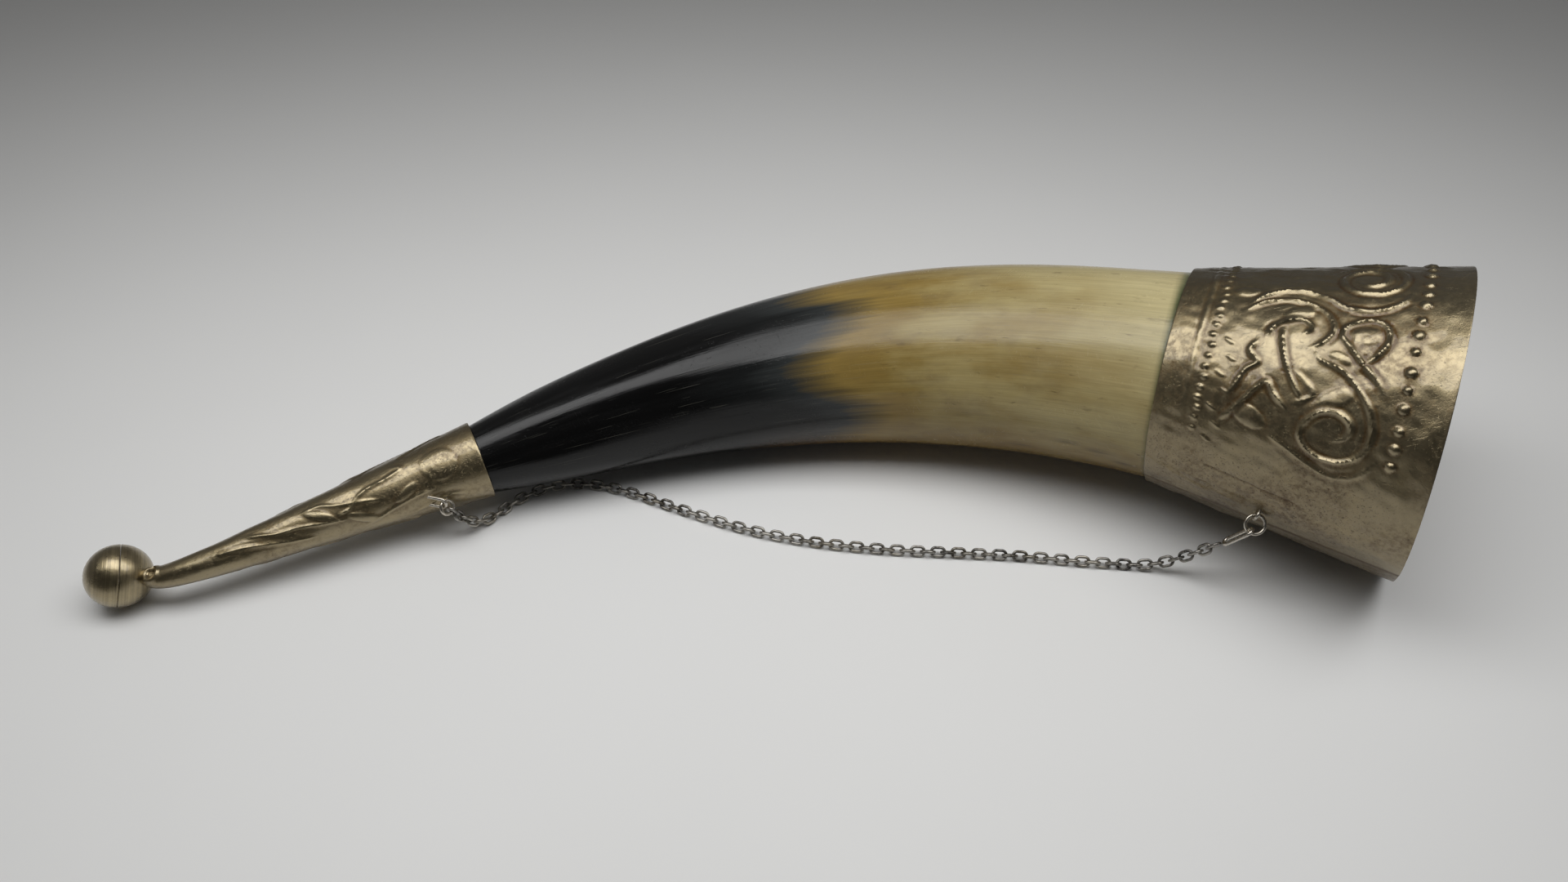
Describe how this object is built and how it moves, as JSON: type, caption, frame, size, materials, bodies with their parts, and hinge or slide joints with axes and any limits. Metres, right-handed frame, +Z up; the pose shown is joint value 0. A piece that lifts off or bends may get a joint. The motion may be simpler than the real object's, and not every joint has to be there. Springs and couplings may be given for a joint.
{
  "type": "drinking horn",
  "caption": "Curved cattle drinking horn with an embossed rim collar, a tip sheath ending in a ball, and a fine carrying chain between the two.",
  "frame": {"origin": "bottom centre of the bounding box, on the surface that the horn lies on", "axes": "+X from the ball at the tip towards the mouth, +Z up, the chain on the -Y side"},
  "size_m": [0.3212, 0.0941, 0.0717],
  "materials": {
    "horn": "polished natural horn, black at the tip and honey to cream at the base",
    "collar_metal": "embossed nickel silver, satin, slightly tarnished",
    "sheath_metal": "embossed nickel silver, satin",
    "ball_metal": "spun nickel silver with fine turning lines",
    "wire_metal": "bright drawn wire",
    "chain_metal": "tarnished, dark in the recesses",
    "cement": "dark matt setting cement"
  },
  "bodies": {
    "horn": {"horn_shell": "horn", "rim_collar": "collar_metal", "collar_seam_lap": "collar_metal", "mouth_liner": "collar_metal", "collar_cement": "cement", "tip_sheath": "sheath_metal", "tip_cement": "cement", "finial_outer_cup": "ball_metal", "finial_inner_cup": "ball_metal", "finial_stem": "ball_metal", "tip_staple": "wire_metal", "collar_staple": "wire_metal"},
    "tip_ring": {"tip_ring": "wire_metal"},
    "collar_ring": {"collar_ring": "wire_metal"},
    "jump_link": {"collar_jump_link": "wire_metal"},
    "chain_01": {"chain_run_01": "chain_metal"},
    "chain_02": {"chain_run_02": "chain_metal"},
    "chain_03": {"chain_run_03": "chain_metal"},
    "chain_04": {"chain_run_04": "chain_metal"},
    "chain_05": {"chain_run_05": "chain_metal"},
    "chain_06": {"chain_run_06": "chain_metal"},
    "chain_07": {"chain_run_07": "chain_metal"},
    "chain_08": {"chain_run_08": "chain_metal"},
    "chain_09": {"chain_run_09": "chain_metal"}
  },
  "joints": [
    {"name": "tip_ring_swing", "type": "hinge", "parent": "horn", "child": "tip_ring", "pos_m": [-0.08151, -0.01701, 0.01309], "axis": [0.25, 0.6, 0.76], "range_deg": [-27, 0]},
    {"name": "chain_hinge_01", "type": "hinge", "parent": "tip_ring", "child": "chain_01", "pos_m": [-0.0798, -0.01684, 0.01016], "axis": [0, 0.2, 0.9798], "range_deg": [-25, 0]},
    {"name": "chain_hinge_02", "type": "hinge", "parent": "chain_01", "child": "chain_02", "pos_m": [-0.06789, -0.00539, 0.0011], "axis": [-0.4945, 0.5054, 0.7071], "range_deg": [-28, 0]},
    {"name": "chain_hinge_03", "type": "hinge", "parent": "chain_02", "child": "chain_03", "pos_m": [-0.0467, -0.00005, 0.0011], "axis": [0.1814, 0.6835, 0.7071], "range_deg": [-28, 0]},
    {"name": "chain_hinge_04", "type": "hinge", "parent": "chain_03", "child": "chain_04", "pos_m": [-0.02697, -0.00788, 0.0011], "axis": [0.28, 0.6493, 0.7071], "range_deg": [-28, 0]},
    {"name": "chain_hinge_05", "type": "hinge", "parent": "chain_04", "child": "chain_05", "pos_m": [-0.00561, -0.01596, 0.0011], "axis": [0.1895, 0.6813, 0.7071], "range_deg": [-28, 0]},
    {"name": "chain_hinge_06", "type": "hinge", "parent": "chain_05", "child": "chain_06", "pos_m": [0.0152, -0.02015, 0.0011], "axis": [0.095, 0.7007, 0.7071], "range_deg": [-28, 0]},
    {"name": "chain_hinge_07", "type": "hinge", "parent": "chain_06", "child": "chain_07", "pos_m": [0.03797, -0.02202, 0.0011], "axis": [0.0398, 0.706, 0.7071], "range_deg": [-28, 0]},
    {"name": "chain_hinge_08", "type": "hinge", "parent": "chain_07", "child": "chain_08", "pos_m": [0.05916, -0.02352, 0.0011], "axis": [0.0734, 0.7033, 0.7071], "range_deg": [-28, 0]},
    {"name": "chain_hinge_09", "type": "hinge", "parent": "chain_08", "child": "chain_09", "pos_m": [0.08189, -0.02587, 0.00112], "axis": [0.0238, 0.7085, 0.7053], "range_deg": [-28, 0]},
    {"name": "collar_ring_swing", "type": "hinge", "parent": "horn", "child": "collar_ring", "pos_m": [0.10523, -0.02869, 0.02209], "axis": [0.9918, -0.1109, -0.0638], "range_deg": [-60, 15]},
    {"name": "jump_link_swing", "type": "hinge", "parent": "collar_ring", "child": "jump_link", "pos_m": [0.10355, -0.0311, 0.01906], "axis": [0.7666, -0.4354, -0.472], "range_deg": [-35, 35]}
  ]
}
